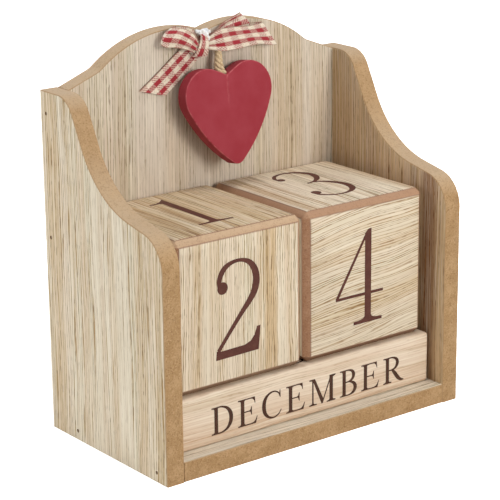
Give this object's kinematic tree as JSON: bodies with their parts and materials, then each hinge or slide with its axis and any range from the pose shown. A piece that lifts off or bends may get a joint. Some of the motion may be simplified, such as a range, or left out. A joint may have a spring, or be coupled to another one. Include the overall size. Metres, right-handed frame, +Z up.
{
  "type": "perpetual desk calendar",
  "caption": "Desk calendar with two numbered day cubes and three month bars in an open veneered case, with a heart hanging from a gingham bow.",
  "frame": {"origin": "centre of the case's footprint, on the surface it stands on", "axes": "+X to the reader's right, +Y to the back panel, +Z up"},
  "size_m": [0.1192, 0.064, 0.1284],
  "materials": {
    "mdf": "sawn and sanded fibreboard",
    "cube_mdf": "sanded fibreboard, darker",
    "veneer": "pale open-grained veneer, matt",
    "pine": "planed, matt",
    "heart_paint": "matt red paint",
    "twine": "twisted jute",
    "gingham_ribbon": "woven red and cream checks",
    "glue": "clear hot-melt glue",
    "brad": "dull steel"
  },
  "bodies": {
    "case": {"left_side_core": "mdf", "left_side_outer_veneer": "veneer", "left_side_inner_veneer": "veneer", "left_side_brads": "brad", "right_side_core": "mdf", "right_side_outer_veneer": "veneer", "right_side_inner_veneer": "veneer", "right_side_brads": "brad", "back_panel_core": "mdf", "back_panel_front_veneer": "veneer", "back_panel_rear_veneer": "veneer", "base_core": "mdf", "base_top_veneer": "veneer", "base_bottom_veneer": "veneer", "bow_knot": "gingham_ribbon", "bow_left_loop": "gingham_ribbon", "bow_right_loop": "gingham_ribbon", "bow_left_tail": "gingham_ribbon", "bow_right_tail": "gingham_ribbon", "glue_bead": "glue"},
    "left_cube": {"left_cube_core": "cube_mdf", "left_cube_front_veneer": "veneer", "left_cube_rear_veneer": "veneer", "left_cube_left_veneer": "veneer", "left_cube_right_veneer": "veneer", "left_cube_top_veneer": "veneer", "left_cube_bottom_veneer": "veneer"},
    "right_cube": {"right_cube_core": "cube_mdf", "right_cube_front_veneer": "veneer", "right_cube_rear_veneer": "veneer", "right_cube_left_veneer": "veneer", "right_cube_right_veneer": "veneer", "right_cube_top_veneer": "veneer", "right_cube_bottom_veneer": "veneer"},
    "rear_bar": {"rear_month_bar": "pine"},
    "middle_bar": {"middle_month_bar": "pine"},
    "front_bar": {"front_month_bar": "pine"},
    "heart": {"heart": "heart_paint", "heart_twine": "twine"}
  },
  "joints": [
    {"name": "left_cube_lift", "type": "slide", "parent": "case", "child": "left_cube", "axis": [0, -0.866, 0.5], "range_m": [0, 0.08]},
    {"name": "right_cube_lift", "type": "slide", "parent": "case", "child": "right_cube", "axis": [0, -0.866, 0.5], "range_m": [0, 0.08]},
    {"name": "rear_bar_slide", "type": "slide", "parent": "case", "child": "rear_bar", "axis": [0, -1, 0], "range_m": [0, 0.064]},
    {"name": "middle_bar_slide", "type": "slide", "parent": "rear_bar", "child": "middle_bar", "axis": [0, -1, 0], "range_m": [0, 0.047]},
    {"name": "front_bar_slide", "type": "slide", "parent": "middle_bar", "child": "front_bar", "axis": [0, -1, 0], "range_m": [0, 0.03]},
    {"name": "heart_swing", "type": "hinge", "parent": "case", "child": "heart", "pos_m": [0.0024, 0.0213, 0.1172], "axis": [0, 1, 0], "range_deg": [-14, 14]}
  ]
}
